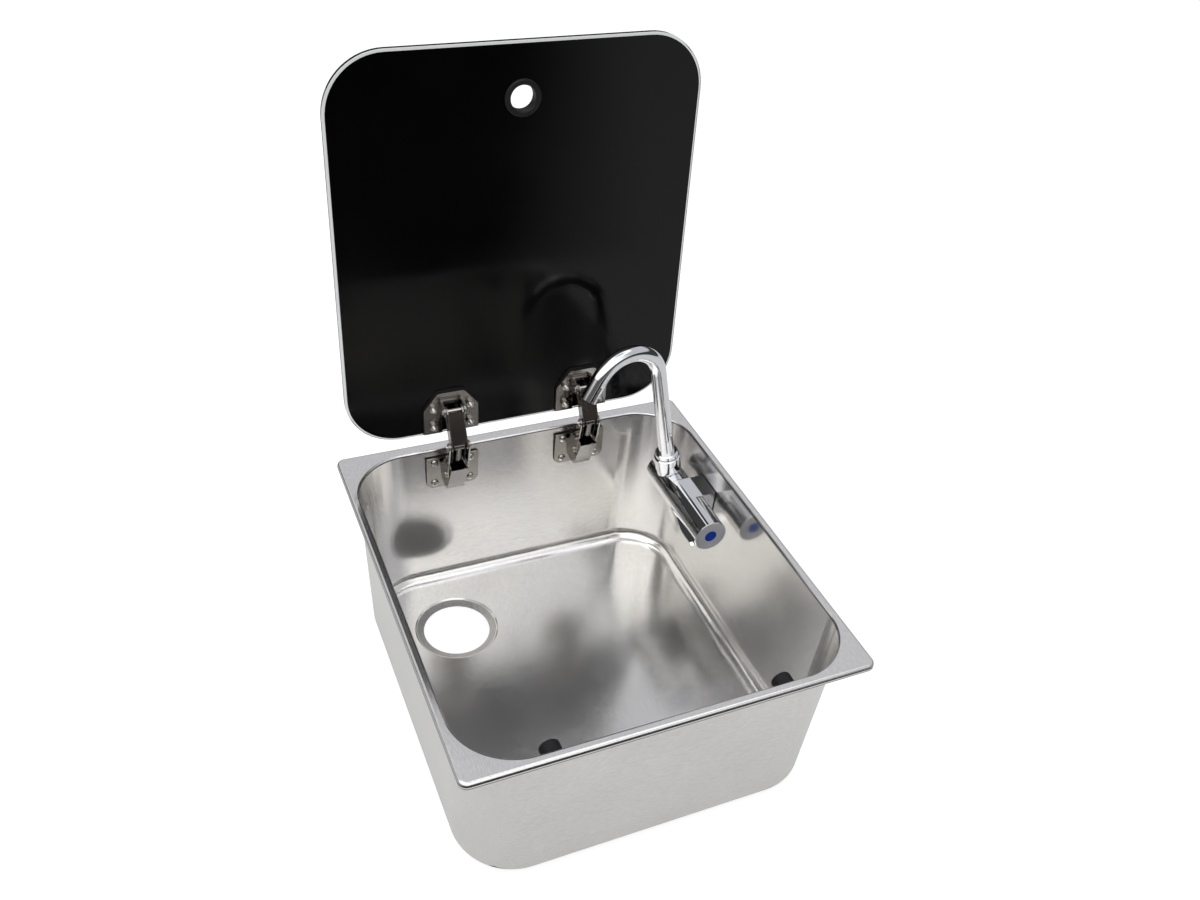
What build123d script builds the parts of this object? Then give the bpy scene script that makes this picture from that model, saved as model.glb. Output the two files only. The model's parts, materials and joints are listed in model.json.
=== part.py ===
from build123d import *
from math import atan2, cos, degrees, hypot, radians, sin, sqrt
import os

# Built-in sink for a camper or boat galley: a pressed steel bowl with a flange, a glass
# lid on two linkage hinges, and a cold-water tap whose spout folds down under the lid.
#
# Frame: X to the right along the front, Y to the back, Z up, in millimetres. The origin
# is the plan centre of the flange, in the plane its lip seats on. The lid is open.

# ---------------------------------------------------------------- driving values

# Pressed sheet: flange and bowl
sheet = 0.8
flange_w = 370.0
flange_d = 410.0
flange_corner = 8.0
flange_top = 7.0                # height of the flange above the seating plane
flange_roll_r = 3.0             # outside radius where the flange's rim turns down
hem_r = 1.8                     # outside radius where the rim's foot turns in
hem_lip = 1.2                   # level strip of the hem that lies on the worktop
press_r = 2.0                   # outside radius of the pressed edges
ledge_side = 8.5                # flange beside the opening
ledge_front = 9.0
ledge_back = 14.0
basin_corner = 56.0
wall_slope = 0.041              # inward draft of each wall per millimetre of depth
basin_depth = 169.2
floor_r = 13.0
drain_from_left = 85.0
drain_from_back = 87.0
recess_r = 43.0
recess_depth = 3.0
drain_r = 34.0

# Rubber buffers bonded to the front wall, which carry the closed lid
buffer_from_side = 71.5
buffer_r = 9.0
buffer_reach = 15.0
buffer_below = 14.3             # axis below the flange top

# Glass lid, in its own frame: u up from the rear edge, v in front of the printed face
glass_side_gap = 3.0            # from the opening's edge, with the lid closed
glass_end_gap = 2.0
glass_t = 5.0
glass_chamfer = 0.6
lid_rear_back = 2.3             # rear edge of the printed face behind the opening, lid open
lid_rear_above = 18.9           # above the flange top
lid_lean = 2.35                 # degrees back from upright
grip_from_edge = 49.0
grip_hole_r = 13.5
grommet_r = 16.7
grommet_bore_r = 11.5
grommet_proud = 2.6

# Hinge linkage, seen from the side; distances to the front start at the opening's back edge
hinge_x = 70.0
pivot_ahead = 17.0              # casing pivot
pivot_below = 20.0
lower_len = 40.0
upper_len = 36.0
lid_pin_u = 32.0
lid_pin_v = 12.0
pin_r = 2.0
pin_head_r = 3.0
pin_head_t = 1.0
pin_head_bevel = 0.5
run_gap = 0.05                  # radial clearance of every turning fit
side_gap = 0.4                  # clearance beside moving plates

# Hinge casing and its wall plate
casing_sheet = 1.2
casing_half = 9.0
lip_ahead = 29.5
lip_below = 7.5
toe_ahead = 14.0
toe_below = 42.0
plate_ahead = 4.0               # front face of the wall plate
plate_t = 1.5
plate_half = 27.5
plate_top_below = 8.5
plate_foot_below = 46.0
plate_corner = 8.0
wall_pad_rim = 0.3
wall_pad_drop = 1.5             # the pad stops this far below the top of its plate
wall_screw_x = 19.0
wall_screw_below = (14.0, 39.3)

# Arms
link_t = 1.5
link_r = 4.6
arm_sheet = 1.2
arm_half = 8.4
arm_web = 4.5                   # distance of the channel's web from the pin line
arm_back = 4.8
cover_t = 1.0
cover_rim = 1.2                 # bare edge of the arm beside its cover
damper_r = 3.9
damper_reach = 18.4             # nearest the damper comes to the casing pivot
damper_eye_half = 5.0
cradle_sheet = 1.2
cradle_half = 6.9
cradle_reach = 19.0             # nearest the cradle comes to the casing pivot
cradle_end = 36.0
cradle_back = 5.3               # from the pin line to the back of the cradle
cradle_front = 2.5
cradle_eye_r = 4.0

# Plates that clamp the glass
lid_plate_half = 28.0
lid_plate_low = 2.0
lid_plate_high = 48.0
lid_plate_cut = 14.5
lid_plate_cut_high = 18.0
lid_plate_soft = 4.0            # radius at the ends of the cut corners
lid_plate_t = 1.5
lid_pad_t = 1.5
lid_pad_rim = 0.6
lid_pad_tab = 2.6               # height of the pad above the top of its plate
window_high = 35.5
ear_r = 5.5
ear_base = 9.0
outer_pad_t = 1.0
lid_bolt_x = 19.0
lid_bolt_u = (11.5, 32.5)
bolt_tip = 8.5                  # bolt end above the inner plate

# Small fasteners, M4
m4_r = 2.0
m4_hole_r = 2.3
m4_head_r = 3.8
m4_head_h = 2.4
m4_nut_af = 7.0
m4_nut_h = 3.2
wall_washer_r = 4.5
wall_washer_t = 1.2

# Tap barrel; distances along it run backwards from a datum in front of the back wall
tap_datum_ahead = 191.0
barrel_from_side = 27.0
barrel_below = 43.0
barrel_r = 17.2
barrel_back = 145.0
sleeve_back = 100.0
sleeve_front = 69.5
joint_gap = 0.3                 # end clearance between turning pieces
neck_r = 13.0
neck_front = 66.0
neck_bore_r = 9.0
neck_bore_back = 92.0
water_r = 6.0
port_y = 84.75
port_r = 2.5
port_groove_r = 11.2
port_groove_w = 7.0
ring_y = (76.0, 93.5)
ring_section = 0.62
ring_groove_w = 1.6
clip_r = 14.9
clip_seat_r = 12.0
clip_t = 1.4
cap_r = 12.5
cap_t = 3.5

# Wall bracket and supply
bracket_top = 16.8              # flat top above the barrel axis
bracket_low = 7.5               # foot of the wall face below the barrel axis
gasket_t = 1.0
shank_r = 8.3
shank_hole_r = 8.8
shank_above = 4.7               # shank axis above the barrel axis
shank_past_nut = 6.3
supply_bore_r = 4.0
back_washer_r = 14.0
back_washer_t = 2.0
back_nut_af = 24.0
back_nut_t = 5.0
tail_cap_r = 10.8
tail_cap_t = 7.5
elbow_past_shank = 9.0
elbow_r = 6.5
elbow_bend_r = 8.0
tail_r = 5.0
tail_bore_r = 3.6
tail_len = 20.0
tail_drop = 34.0

# Spout; distances along its post start at the barrel axis
post_y = 123.5
post_lean = 11.7
spout_turn = 10.6
tube_r = 8.0
tube_bore_r = 6.8
tube_start = 20.0
bend_start = 145.0
bend_r = 38.0
bend_angle = 137.0
tip_len = 23.0
boss_r = 12.6
boss_top = 17.9
nose_r = 10.4
nose_top = 29.7
spout_ring_s = 24.5
nut_r = 13.5
nut_low = 18.2
nut_high = 34.5
nut_lip = 32.4
ferrule_r = 10.1
collar_r = 12.0
collar_low = 34.9
collar_high = 40.5
outlet_bore_r = 5.2
outlet_len = 7.0

# Knob
knob_front = 27.0
knob_disc_t = 1.8
knob_disc_r = 16.5
marker_r = 6.3
marker_proud = 0.3
knob_web_back = 36.0
knob_cavity_r = 15.2
knob_socket_r = 6.0
knob_socket_back = 52.0
spindle_r = 3.0
spindle_front = 40.0
spindle_back = 80.0
cartridge_front = 56.0
cartridge_nose_r = 7.2
cartridge_back = 90.0
knob_screw_r = 1.5
knob_screw_head_r = 3.0
knob_screw_head_t = 2.0
fin_angle = 205.0
fin_tip_r = 21.4
fin_t = 6.5
fin_front = 30.0
fin_full = 52.0                 # the fin runs out into the knob behind this
fin_back = 68.0

# ---------------------------------------------------------------- derived places

basin_half_w = flange_w / 2 - ledge_side     # inner wall, extended up to the flange top
basin_front = ledge_front - flange_d / 2
basin_back = flange_d / 2 - ledge_back
drain_x = drain_from_left - basin_half_w
drain_y = basin_back - drain_from_back
buffer_x = basin_half_w - buffer_from_side
buffer_end_y = basin_front + buffer_reach
glass_w = 2 * (basin_half_w - glass_side_gap)
glass_d = basin_back - basin_front - 2 * glass_end_gap
glass_corner = basin_corner - glass_end_gap
grip_u = glass_d - grip_from_edge
pivot_y = basin_back - pivot_ahead
lip_y = basin_back - lip_ahead
toe_y = basin_back - toe_ahead
plate_y = basin_back - plate_ahead
tap_datum = basin_back - tap_datum_ahead
barrel_x = basin_half_w - barrel_from_side
pivot = (pivot_y, flange_top - pivot_below)
lid_rear = (basin_back + lid_rear_back, flange_top + lid_rear_above)
lid_angle = 90.0 - lid_lean
floor_z = flange_top - basin_depth
barrel_z = flange_top - barrel_below
clamp_v = lid_pad_t + lid_plate_t
arm_skirt = casing_half + side_gap
link_out = arm_skirt + link_t


def side_plane(place, angle, x=0.0):
    """Frame of a piece seen from the side: local Y runs along it, local Z out of its front."""
    turn = radians(angle)
    origin = (x, place[0], place[1])
    return Plane(origin=origin, x_dir=(1, 0, 0), z_dir=(0, -sin(turn), cos(turn)))


def side_point(place, angle, along, out):
    turn = radians(angle)
    y = place[0] + along * cos(turn) - out * sin(turn)
    z = place[1] + along * sin(turn) + out * cos(turn)
    return (y, z)


def elbow_point(low, high):
    """Pin that joins the lower arm to the upper arm, on the front side of the line."""
    span = hypot(high[0] - low[0], high[1] - low[1])
    ahead = ((high[0] - low[0]) / span, (high[1] - low[1]) / span)
    foot = (lower_len ** 2 - upper_len ** 2 + span ** 2) / (2 * span)
    off = sqrt(lower_len ** 2 - foot ** 2)
    return (low[0] + foot * ahead[0] - off * ahead[1], low[1] + foot * ahead[1] + off * ahead[0])


lid_pin = side_point(lid_rear, lid_angle, lid_pin_u, lid_pin_v)
elbow = elbow_point(pivot, lid_pin)
lower_angle = degrees(atan2(elbow[1] - pivot[1], elbow[0] - pivot[0]))
upper_angle = degrees(atan2(lid_pin[1] - elbow[1], lid_pin[0] - elbow[0]))
lid_plane = side_plane(lid_rear, lid_angle)

# ---------------------------------------------------------------- shape helpers


def rod(start, end, radius):
    line = Vector(*end) - Vector(*start)
    return extrude(Plane(origin=start, z_dir=line) * Circle(radius), line.length)


def turned(points):
    """Solid of revolution about local Z from (radius, height) points."""
    return revolve(Plane.XZ * make_face(Polyline(*points, close=True)), Axis.Z)


def across(outline, x_low, x_high):
    """Side outline, drawn as (along, out), thickened along X."""
    return extrude(Pos(x_low, 0, 0) * (Plane.YZ * outline), x_high - x_low)


def both_sides(piece):
    return [piece, mirror(piece, about=Plane.YZ)]


def polygon(points):
    return make_face(Polyline(*points, close=True))


def rounded_block(width, depth, corner, low, high):
    return extrude(Pos(0, 0, low) * RectangleRounded(width, depth, corner), high - low)


def pan_screw(length):
    """Head upwards on local Z, with its seat at zero."""
    return turned([(0, -length), (m4_r, -length), (m4_r, 0), (m4_head_r, 0),
                   (m4_head_r, 0.35 * m4_head_h), (0.9 * m4_head_r, 0.64 * m4_head_h),
                   (0.68 * m4_head_r, 0.85 * m4_head_h), (0.35 * m4_head_r, 0.97 * m4_head_h),
                   (0, m4_head_h)])


def rubber_ring(middle_r, section_r):
    """O-ring with an eight-sided section."""
    corners = [radians(22.5 + 45 * i) for i in range(8)]
    return turned([(middle_r + section_r * cos(a), section_r * sin(a)) for a in corners])


def hex_nut(flats, height, hole):
    corners = RegularPolygon(flats / sqrt(3), 6)
    return extrude(corners, height) - Cylinder(hole, 3 * height)


def group(pieces):
    return Compound(children=[solid for piece in pieces for solid in piece.solids()])


parts = {}

# ---------------------------------------------------------------- pressed bowl


def basin_section(z, grow):
    inset = wall_slope * (flange_top - z) - grow
    width = 2 * (basin_half_w - inset)
    depth = basin_back - basin_front - 2 * inset
    centre_y = (basin_front + basin_back) / 2
    return Pos(0, centre_y, z) * RectangleRounded(width, depth, basin_corner + grow)


def basin_block(top, bottom, grow, edge_r):
    block = loft([basin_section(bottom, grow), basin_section(top, grow)])
    return fillet(block.edges().group_by(Axis.Z)[0], edge_r)


def basin_edge(shape, z):
    """Loop of edges around the basin at one height, inside the flange's own edge."""
    level = shape.edges().filter_by_position(Axis.Z, z - 0.01, z + 0.01)
    middle_y = (basin_front + basin_back) / 2
    half_depth = (basin_back - basin_front) / 2
    return [e for e in level if abs(e.center().X) < basin_half_w + 2 * sheet
            and abs(e.center().Y - middle_y) < half_depth + 2 * sheet]


def wall_y(z, side_y, inward):
    """Y of the inner face of the front or back wall at a height."""
    return side_y + inward * wall_slope * (flange_top - z)


def wall_x(z):
    return basin_half_w - wall_slope * (flange_top - z)


def rim_skin(inset):
    block = rounded_block(flange_w - 2 * inset, flange_d - 2 * inset, flange_corner - inset,
                          inset, flange_top - inset)
    block = fillet(block.edges().group_by(Axis.Z)[-1], flange_roll_r - inset)
    return fillet(block.edges().group_by(Axis.Z)[0], hem_r - inset)


def turned_down_flange():
    reach = hem_r + hem_lip
    mouth = rounded_block(flange_w - 2 * reach, flange_d - 2 * reach, flange_corner - reach,
                          -sheet, 2 * sheet)
    return rim_skin(0) - rim_skin(sheet) - mouth


sink = turned_down_flange()
sink += basin_block(flange_top - sheet / 2, floor_z - sheet, sheet, floor_r + sheet)
sink = fillet(basin_edge(sink, flange_top - sheet), press_r - sheet)
sink -= basin_block(flange_top + press_r, floor_z, 0, floor_r)
sink = fillet(basin_edge(sink, flange_top), press_r)

ledge_z = floor_z - recess_depth
recess_skin = turned([(drain_r, ledge_z - sheet), (recess_r - recess_depth + 0.3, ledge_z - sheet),
                      (recess_r + 0.3, floor_z - sheet), (recess_r + 0.3, floor_z - sheet / 2),
                      (drain_r, floor_z - sheet / 2)])
recess = turned([(0, ledge_z), (recess_r - recess_depth, ledge_z), (recess_r, floor_z),
                 (recess_r, floor_z + sheet), (0, floor_z + sheet)])
drain = Pos(drain_x, drain_y, 0)
sink += drain * recess_skin
sink -= drain * recess
sink -= Pos(drain_x, drain_y, ledge_z) * Cylinder(drain_r, 4 * recess_depth)

wall_screws = [(side * hinge_x + dx, flange_top - below) for side in (-1, 1)
               for dx in (-wall_screw_x, wall_screw_x) for below in wall_screw_below]
shank_z = barrel_z + shank_above
bracket_y = tap_datum + (sleeve_front + sleeve_back) / 2
for x, z in wall_screws:
    sink -= rod((x, basin_back - 10, z), (x, basin_back + 10, z), m4_hole_r)
sink -= rod((basin_half_w - 20, bracket_y, shank_z), (basin_half_w + 10, bracket_y, shank_z),
            shank_hole_r)
parts["sink_bowl"] = sink

# Half spaces bounded by the walls, used to seat pieces on the drafted faces
deep = -basin_depth


def behind_back_wall(grow):
    high = wall_y(flange_top, basin_back + grow, -1)
    low = wall_y(deep, basin_back + grow, -1)
    return across(polygon([(high, flange_top), (high - 60, flange_top), (low - 60, deep),
                           (low, deep)]), -basin_half_w, basin_half_w)


def before_front_wall(grow):
    high = wall_y(flange_top, basin_front - grow, 1)
    low = wall_y(deep, basin_front - grow, 1)
    return across(polygon([(high, flange_top), (high + 60, flange_top), (low + 60, deep),
                           (low, deep)]), -basin_half_w, basin_half_w)


def inside_right_wall(grow):
    high = wall_x(flange_top) + grow
    low = wall_x(deep) + grow
    outline = polygon([(high, flange_top), (high - 60, flange_top), (low - 60, deep), (low, deep)])
    return extrude(Plane.XZ.offset(-basin_back) * outline, basin_back)


# ---------------------------------------------------------------- buffers

buffer_z = flange_top - buffer_below
buffers = []
for x in (-buffer_x, buffer_x):
    body = rod((x, basin_front - 3, buffer_z), (x, buffer_end_y, buffer_z), buffer_r)
    body = fillet(body.edges().group_by(Axis.Y)[-1], 1.0)
    buffers.append(body & before_front_wall(0))
parts["front_buffers"] = group(buffers)

# ---------------------------------------------------------------- hinge casings

pad_back = behind_back_wall(0)


def hinge_casing():
    lip = (lip_y, flange_top - lip_below)
    toe = (toe_y, flange_top - toe_below)
    high = flange_top - plate_top_below
    foot = flange_top - plate_foot_below
    outside = [lip, toe, (plate_y, toe[1] - 2), (plate_y, high)]
    box = across(polygon(outside), -casing_half, casing_half)
    step = casing_sheet
    inside = [(lip[0] + 1.1 * step, lip[1] + 5), (lip[0] + 1.1 * step, lip[1]),
              (toe[0] + 0.9 * step, toe[1] + step), (plate_y + 5, toe[1] + step - 3),
              (plate_y + 5, high + 5)]
    box -= across(polygon(inside), -casing_half + step, casing_half - step)
    plate_h = high - foot
    plate = Pos(0, (high + foot) / 2) * Rectangle(2 * plate_half, plate_h)
    plate = fillet(plate.vertices().group_by(Axis.Y)[0], plate_corner)
    plate = fillet(plate.vertices().group_by(Axis.Y)[-1], 2.0)
    wings = extrude(Plane.XZ.offset(-plate_y - plate_t) * plate, plate_t)
    casing = box + wings
    casing -= rod((-casing_half - 1, *pivot), (casing_half + 1, *pivot), pin_r)
    for dx in (-wall_screw_x, wall_screw_x):
        for below in wall_screw_below:
            z = flange_top - below
            casing -= rod((dx, plate_y - 5, z), (dx, plate_y + 5, z), m4_hole_r)
    return casing


def wall_pad():
    high = flange_top - plate_top_below - wall_pad_drop
    foot = flange_top - plate_foot_below - wall_pad_rim
    half = plate_half + wall_pad_rim
    front = plate_y + plate_t
    face = Pos(0, (high + foot) / 2) * Rectangle(2 * half, high - foot)
    face = fillet(face.vertices().group_by(Axis.Y)[0], plate_corner)
    pad = extrude(Plane.XZ.offset(-front - 8) * face, 8)
    for dx in (-wall_screw_x, wall_screw_x):
        for below in wall_screw_below:
            z = flange_top - below
            pad -= rod((dx, plate_y - 5, z), (dx, plate_y + 15, z), m4_hole_r)
    return pad


def headed_pin(half_len):
    """Pin along X with a bevelled round head outside each outermost plate."""
    end = half_len + pin_head_t
    half = turned([(0, 0), (pin_r, 0), (pin_r, half_len), (pin_head_r, half_len),
                   (pin_head_r, end - pin_head_bevel), (pin_head_r - pin_head_bevel, end), (0, end)])
    side = Plane(origin=(0, 0, 0), x_dir=(0, 1, 0), z_dir=(1, 0, 0)) * half
    return side + mirror(side, about=Plane.YZ)


pin_half = link_out + 0.3
for side, name in ((-1, "left"), (1, "right")):
    place = Pos(side * hinge_x, 0, 0)
    parts[name + "_hinge_casing"] = place * hinge_casing()
    parts[name + "_wall_pad"] = (place * wall_pad()) & pad_back
parts["casing_pivot_pins"] = group([Pos(side * hinge_x, *pivot) * headed_pin(pin_half)
                                    for side in (-1, 1)])

screws, washers, nuts = [], [], []
wall_skin = behind_back_wall(sheet)
for x, z in wall_screws:
    outside_y = wall_y(z, basin_back + sheet, -1)
    washer_end = outside_y + wall_washer_t
    out = Plane(origin=(x, washer_end, z), x_dir=(1, 0, 0), z_dir=(0, 1, 0))
    head = Plane(origin=(x, plate_y, z), x_dir=(1, 0, 0), z_dir=(0, -1, 0))
    ring = rod((x, outside_y - 2, z), (x, washer_end, z), wall_washer_r)
    washers.append(ring - rod((x, outside_y - 3, z), (x, washer_end + 1, z), m4_hole_r) - wall_skin)
    nuts.append(out * hex_nut(m4_nut_af, m4_nut_h, m4_r))
    screws.append(head * pan_screw(washer_end + m4_nut_h + 1.5 - plate_y))
parts["hinge_wall_screws"] = group(screws)
parts["hinge_wall_washers"] = group(washers)
parts["hinge_wall_nuts"] = group(nuts)

# ---------------------------------------------------------------- lower arms


def link_pair():
    outline = Pos(lower_len / 2, 0) * SlotCenterToCenter(lower_len, 2 * link_r)
    outline -= Circle(pin_r + run_gap)
    outline -= Pos(lower_len, 0) * Circle(pin_r)
    return both_sides(across(outline, arm_skirt, link_out))


def damper():
    start = damper_reach + damper_r
    body = rod((0, start, 0), (0, lower_len, 0), damper_r)
    body += Pos(0, start, 0) * Sphere(damper_r)
    body += rod((-damper_eye_half, lower_len, 0), (damper_eye_half, lower_len, 0), damper_r)
    return body - rod((-20, lower_len, 0), (20, lower_len, 0), pin_r)


def damper_cradle():
    """Moulded channel behind and beside the damper, hung on the elbow pin by two eyes."""
    flank = polygon([(cradle_reach, -cradle_back), (cradle_end, -cradle_back),
                     (lower_len, -cradle_eye_r), (lower_len, cradle_eye_r),
                     (cradle_end, cradle_front), (cradle_reach, cradle_front)])
    flank = flank + Pos(lower_len, 0) * Circle(cradle_eye_r) - Pos(lower_len, 0) * Circle(pin_r)
    middle = Pos((cradle_reach + cradle_end) / 2, (cradle_sheet - 2 * cradle_back) / 2)
    body = across(middle * Rectangle(cradle_end - cradle_reach, cradle_sheet),
                  -cradle_half, cradle_half)
    for cheek in both_sides(across(flank, cradle_half - cradle_sheet, cradle_half)):
        body += cheek
    return body


for side, name in ((-1, "left"), (1, "right")):
    arm_frame = side_plane(pivot, lower_angle, side * hinge_x)
    parts[name + "_lower_arm_links"] = group([arm_frame * link for link in link_pair()])
    parts[name + "_damper_cylinder"] = arm_frame * damper()
    parts[name + "_damper_cradle"] = arm_frame * damper_cradle()
parts["elbow_pins"] = group([Pos(side * hinge_x, *elbow) * headed_pin(pin_half)
                             for side in (-1, 1)])

# ---------------------------------------------------------------- upper arms


def upper_arm():
    web_out = arm_web + arm_sheet
    flank = polygon([(0, -arm_back), (upper_len, -arm_back), (upper_len, arm_back),
                     (upper_len - 2, web_out), (2, web_out), (0, arm_back)])
    flank += Circle(arm_back)
    flank += Pos(upper_len, 0) * Circle(arm_back)
    flank -= Circle(pin_r + run_gap)
    flank -= Pos(upper_len, 0) * Circle(pin_r + run_gap)
    cheeks = both_sides(across(flank, arm_half - arm_sheet, arm_half))
    web = across(Pos(upper_len / 2, arm_web + arm_sheet / 2) * Rectangle(upper_len - 4, arm_sheet),
                 -arm_half, arm_half)
    return web + cheeks[0] + cheeks[1]


def arm_cover():
    low = arm_web + arm_sheet
    plate = Pos(upper_len / 2, low + cover_t / 2) * Rectangle(upper_len - 4, cover_t)
    cover = across(plate, cover_rim - arm_half, arm_half - cover_rim)
    return fillet(cover.edges().group_by(Axis.Z)[-1], 0.5)


for side, name in ((-1, "left"), (1, "right")):
    arm_frame = side_plane(elbow, upper_angle, side * hinge_x)
    parts[name + "_upper_arm"] = arm_frame * upper_arm()
    parts[name + "_arm_cover"] = arm_frame * arm_cover()

# ---------------------------------------------------------------- lid

bolt_places = [(side * hinge_x + dx, u) for side in (-1, 1) for dx in (-lid_bolt_x, lid_bolt_x)
               for u in lid_bolt_u]


def lid_glass():
    outline = Pos(0, glass_d / 2) * RectangleRounded(glass_w, glass_d, glass_corner)
    outline -= Pos(0, grip_u) * Circle(grip_hole_r)
    slab = extrude(outline, -glass_t)
    layers = slab.edges().group_by(Axis.Z)
    slab = chamfer(layers[0] + layers[-1], glass_chamfer)
    for x, u in bolt_places:
        slab -= Pos(x, u, -glass_t / 2) * Cylinder(m4_hole_r, 2 * glass_t)
    return slab


def finger_grommet():
    low = -glass_t - grommet_proud
    high = grommet_proud
    rim = 1.0
    ring = turned([(grommet_bore_r, low + rim), (grommet_bore_r + rim, low),
                   (grommet_r - rim, low), (grommet_r, low + rim), (grommet_r, -glass_t),
                   (grip_hole_r + glass_chamfer, -glass_t),
                   (grip_hole_r, -glass_t + glass_chamfer), (grip_hole_r, -glass_chamfer),
                   (grip_hole_r + glass_chamfer, 0), (grommet_r, 0), (grommet_r, high - rim),
                   (grommet_r - rim, high),
                   (grommet_bore_r + rim, high), (grommet_bore_r, high - rim)])
    return Pos(0, grip_u, 0) * ring


def clamp_outline(rim, tab):
    """Cut-cornered plate; the rim and the tab widen it for the pad under it."""
    half = lid_plate_half + rim
    high = lid_plate_high + tab
    cut = lid_plate_cut
    shoulder = lid_plate_high - lid_plate_cut_high + rim
    outline = polygon([(-half, lid_plate_low), (half, lid_plate_low), (half, shoulder),
                       (half - cut, high), (cut - half, high), (-half, shoulder)])
    return fillet([v for v in outline.vertices() if v.Y > shoulder - 1], lid_plate_soft)


def bolt_holes(depth):
    return [Pos(dx, u, depth / 2) * Cylinder(m4_hole_r, abs(depth) * 3)
            for dx in (-lid_bolt_x, lid_bolt_x) for u in lid_bolt_u]


def window(rim):
    high = window_high - rim
    return Pos(0, high / 2) * Rectangle(2 * (arm_skirt - rim), high)


def inner_pad():
    pad = extrude(clamp_outline(lid_pad_rim, lid_pad_tab) - window(0), lid_pad_t)
    for hole in bolt_holes(lid_pad_t):
        pad -= hole
    return pad


def inner_plate():
    plate = Pos(0, 0, lid_pad_t) * extrude(clamp_outline(0, 0) - window(0), lid_plate_t)
    ear = polygon([(lid_pin_u - ear_base, lid_pad_t), (lid_pin_u + ear_base, lid_pad_t),
                   (lid_pin_u + ear_r, lid_pin_v), (lid_pin_u - ear_r, lid_pin_v)])
    ear += Pos(lid_pin_u, lid_pin_v) * Circle(ear_r)
    ear -= Pos(lid_pin_u, lid_pin_v) * Circle(pin_r)
    for cheek in both_sides(across(ear, arm_skirt, link_out)):
        plate += cheek
    for hole in bolt_holes(clamp_v):
        plate -= hole
    return plate


def outer_layer(outline, near, thickness):
    layer = Pos(0, 0, -near - thickness) * extrude(outline, thickness)
    for hole in bolt_holes(-2 * (near + thickness)):
        layer -= hole
    return layer


parts["lid_glass"] = lid_plane * lid_glass()
parts["finger_grommet"] = lid_plane * finger_grommet()
outer_v = glass_t + outer_pad_t + lid_plate_t
pad_face = clamp_outline(lid_pad_rim, lid_pad_tab)
plate_face = clamp_outline(0, 0)
for side, name in ((-1, "left"), (1, "right")):
    place = lid_plane * Pos(side * hinge_x, 0, 0)
    parts[name + "_lid_pad"] = place * inner_pad()
    parts[name + "_lid_plate"] = place * inner_plate()
    parts[name + "_outer_pad"] = place * outer_layer(pad_face, glass_t, outer_pad_t)
    parts[name + "_outer_plate"] = place * outer_layer(plate_face, glass_t + outer_pad_t, lid_plate_t)
bolt_len = outer_v + clamp_v + bolt_tip
lid_bolts = [lid_plane * Pos(x, u, -outer_v) * Rot(180, 0, 0) * pan_screw(bolt_len)
             for x, u in bolt_places]
lid_nuts = [lid_plane * Pos(x, u, clamp_v) * hex_nut(m4_nut_af, m4_nut_h, m4_r)
            for x, u in bolt_places]
parts["lid_bolts"] = group(lid_bolts)
parts["lid_nuts"] = group(lid_nuts)
parts["lid_pivot_pins"] = group([Pos(side * hinge_x, *lid_pin) * headed_pin(pin_half)
                                 for side in (-1, 1)])

# ---------------------------------------------------------------- tap: bracket and supply

barrel_frame = Plane(origin=(barrel_x, tap_datum, barrel_z), x_dir=(1, 0, 0), z_dir=(0, 1, 0))
wall_side = wall_x(shank_z)
washer_x = wall_side + sheet
nut_x = washer_x + back_washer_t
shank_end_x = nut_x + back_nut_t + shank_past_nut
elbow_x = shank_end_x + elbow_past_shank
sleeve_len = sleeve_back - sleeve_front


def tap_bracket():
    sleeve = turned([(0, sleeve_front), (barrel_r, sleeve_front), (barrel_r, sleeve_back),
                     (0, sleeve_back)])
    body = barrel_frame * sleeve
    reach = wall_side + 5
    wedge = polygon([(barrel_x, barrel_z + bracket_top), (reach, barrel_z + bracket_top),
                     (reach, barrel_z - bracket_low), (barrel_x + 0.5 * barrel_r,
                      barrel_z - 0.86 * barrel_r), (barrel_x, barrel_z - 0.5 * barrel_r)])
    web = extrude(Plane.XZ.offset(-tap_datum - sleeve_back) * wedge, sleeve_len)
    body += web & inside_right_wall(-gasket_t)
    top = Box(80, 80, 20, align=(Align.CENTER, Align.CENTER, Align.MIN))
    body -= Pos(barrel_x, bracket_y, barrel_z + bracket_top) * top
    body += rod((barrel_x + barrel_r, bracket_y, shank_z), (shank_end_x, bracket_y, shank_z), shank_r)
    body -= barrel_frame * rod((0, 0, neck_front), (0, 0, sleeve_back + sleeve_len), neck_r + run_gap)
    body -= rod((barrel_x, bracket_y, shank_z), (shank_end_x + 5, bracket_y, shank_z), supply_bore_r)
    return body


def wall_gasket():
    low = barrel_z - bracket_low
    high = barrel_z + bracket_top
    face = Pos(bracket_y, (low + high) / 2) * Rectangle(sleeve_len, high - low)
    slab = across(face, wall_side - 8, wall_side + 8)
    slab = (slab & inside_right_wall(0)) - inside_right_wall(-gasket_t)
    return slab - rod((wall_side - 9, bracket_y, shank_z), (wall_side + 9, bracket_y, shank_z), shank_r)


def supply_ring(start, length, radius):
    ring = rod((start, bracket_y, shank_z), (start + length, bracket_y, shank_z), radius)
    return ring - rod((start - 1, bracket_y, shank_z), (start + length + 1, bracket_y, shank_z), shank_r)


parts["tap_bracket"] = tap_bracket()
parts["tap_wall_gasket"] = wall_gasket()
parts["tap_back_washer"] = (supply_ring(washer_x - 2, back_washer_t + 2, back_washer_r)
                            - inside_right_wall(sheet))
nut_frame = Plane(origin=(nut_x, bracket_y, shank_z), x_dir=(0, 1, 0), z_dir=(1, 0, 0))
parts["tap_back_nut"] = nut_frame * hex_nut(back_nut_af, back_nut_t, shank_r)


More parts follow.
